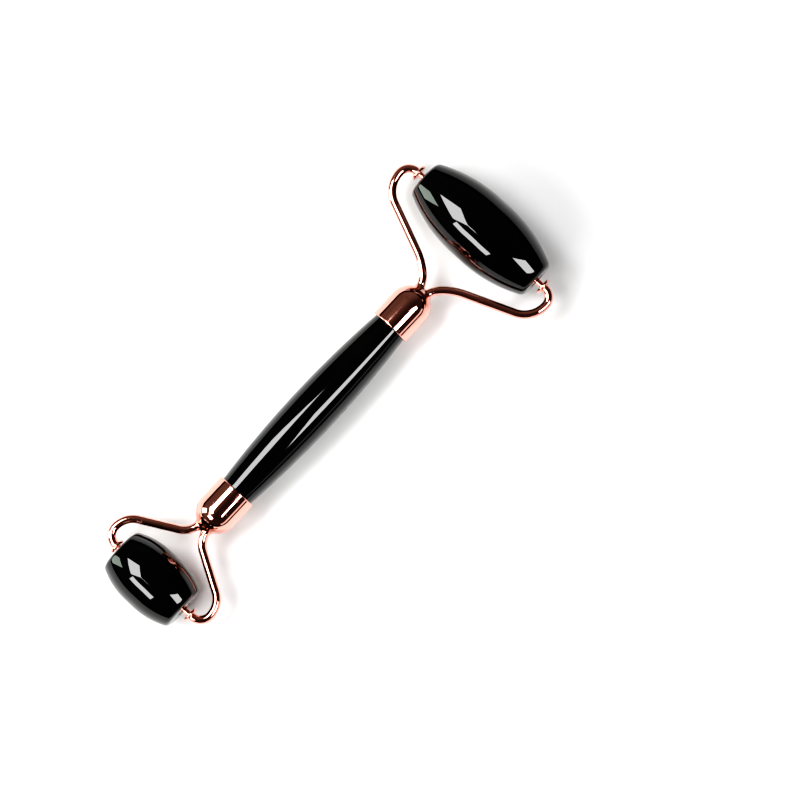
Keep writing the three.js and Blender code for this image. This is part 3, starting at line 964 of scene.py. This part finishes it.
def softbox(name, middle, side, up, size, radiance, colour=(1, 1, 1)):
    """A rectangular area light with its middle, in metres, and the directions of its two edges.

    It shines away from the far side, so up is turned round if its face would look outwards. A face
    of radiance L and area A gives out L * A * pi watts."""
    middle, across = Vector(middle), Vector(side).normalized()
    outward = across.cross(Vector(up)).normalized()
    if outward.dot(middle) < 0:
        outward = -outward
    lamp = bpy.data.lights.new(name, "AREA")
    lamp.shape = "RECTANGLE"
    lamp.size, lamp.size_y = size
    lamp.energy = radiance * size[0] * size[1] * math.pi
    lamp.color = colour
    stand = bpy.data.objects.new(name, lamp)
    bpy.context.scene.collection.objects.link(stand)
    turn = Matrix((across, outward.cross(across), outward)).transposed().to_4x4()
    stand.matrix_world = Matrix.Translation(middle) @ turn
    stand.visible_camera = False
    return stand


KEY = 15.0
CARD = 7.0
WALL = 1.1
CARD_GREEN = (0.86, 1.0, 0.88)
left = (-0.457, -0.335, 1.138), (0.489, 0.357, 0.796), (-0.431, 0.892, -0.135), (0.553, 0.728)
front = (-0.152, -1.409, 1.294), (0.992, -0.109, -0.064), (0.126, 0.814, 0.567), (0.81, 0.5)
right = (0.707, 0.271, 0.924), (0.516, 0.763, 0.389), (0.82, -0.309, -0.483), (0.82, 0.29)
card = (-1.15, -0.9, 0.55), (0.64, -0.77, 0), (0, 0.3, 1), (0.52, 0.78)
wall = (1.94, 0.0, 0.46), (0, 1, 0), (-0.2, 0, 1), (2.5, 0.32)
softbox("left_softbox", *left, KEY)
softbox("front_softbox", *front, KEY)
softbox("right_softbox", *right, KEY)
softbox("window_card", *card, CARD, CARD_GREEN)
softbox("right_wall", *wall, WALL)

# %% [markdown]
# The room itself is only seen mirrored in the metal: a dim brown ceiling, patchy as rooms are,
# which goes dark towards the floor and on the right. A plain grey world would light the caps
# evenly and make them look like plastic, so the colour depends on the direction looked in.

# %% The dark room


def dark_room():
    """Brown by cloudy noise, times a ramp on height and a ramp on the leftward direction."""
    world = bpy.data.worlds.new("dark_room")
    bpy.context.scene.world = world
    world.use_nodes = True
    room = Web(world.node_tree)
    where = room.node("ShaderNodeTexCoord", output="Generated")
    height = room.node("ShaderNodeSeparateXYZ", {}, {"Vector": where}, output="Z")
    rightward = room.node("ShaderNodeSeparateXYZ", {}, {"Vector": where}, output="X")
    patches = room.noise(where, 1.6, 3.0)
    lift = room.ramp(height, (0.12, 0.04), (0.26, 1.0))
    side = room.ramp(rightward * 0.5 + 0.5, (0.3, 1.0), (0.6, 0.3))
    level = lift * side * (0.45 + patches)
    colour = room.mix(level, (0.0, 0.0, 0.0, 1), (0.17, 0.165, 0.15, 1))
    room.connect(world.node_tree.nodes["Background"].inputs["Color"], colour)


dark_room()

# %% [markdown]
# A camera's picture has a toe: the darkest tones sink a little below a straight line, and that is
# what makes polished black look deep. One curve in the view settings does it.

# %% The picture's tone curve
TOE = ((0.0, 0.0), (0.03, 0.006), (0.07, 0.03), (0.24, 0.22), (1.0, 1.0))


def tone_curve(points):
    """Sets the combined curve's points. Inputs and outputs are linear light."""
    view = bpy.context.scene.view_settings
    view.view_transform = "Standard"
    view.look = "None"
    view.use_curve_mapping = True
    curve = view.curve_mapping.curves[3]
    while len(curve.points) < len(points):
        curve.points.new(0.5, 0.5)
    for point, place in zip(curve.points, points):
        point.location = place
    view.curve_mapping.update()


tone_curve(TOE)

# %% [markdown]
# ## The camera
# It looks almost straight down from 0.85 m through a long lens, with the tool lying across the
# picture from the lower left to the upper right.

# %% Camera
CAMERA_DISTANCE = 0.85
RIGHT_LEAN = math.sin(math.radians(5.5))
FRONT_LEAN = math.sin(math.radians(3.0))
CAMERA_LOOK = Vector((0.01518, 0.01523, 0.0093))
PICTURE_UP = Vector((-0.68125, 0.73204, 0))
FIELD = 0.21176

view_back = Vector((RIGHT_LEAN, -FRONT_LEAN, math.sqrt(1 - RIGHT_LEAN**2 - FRONT_LEAN**2)))
view_right = PICTURE_UP.cross(view_back).normalized()
view_up = view_back.cross(view_right)
camera_data = bpy.data.cameras.new("camera")
camera_data.sensor_width = 36
camera_data.lens = 36 * CAMERA_DISTANCE / FIELD
camera = bpy.data.objects.new("camera", camera_data)
bpy.context.scene.collection.objects.link(camera)
axes = Matrix((view_right, view_up, view_back)).transposed().to_4x4()
camera.matrix_world = Matrix.Translation(CAMERA_LOOK + view_back * CAMERA_DISTANCE) @ axes
bpy.context.scene.camera = camera
print(f"the lens is {camera_data.lens:.1f} mm")
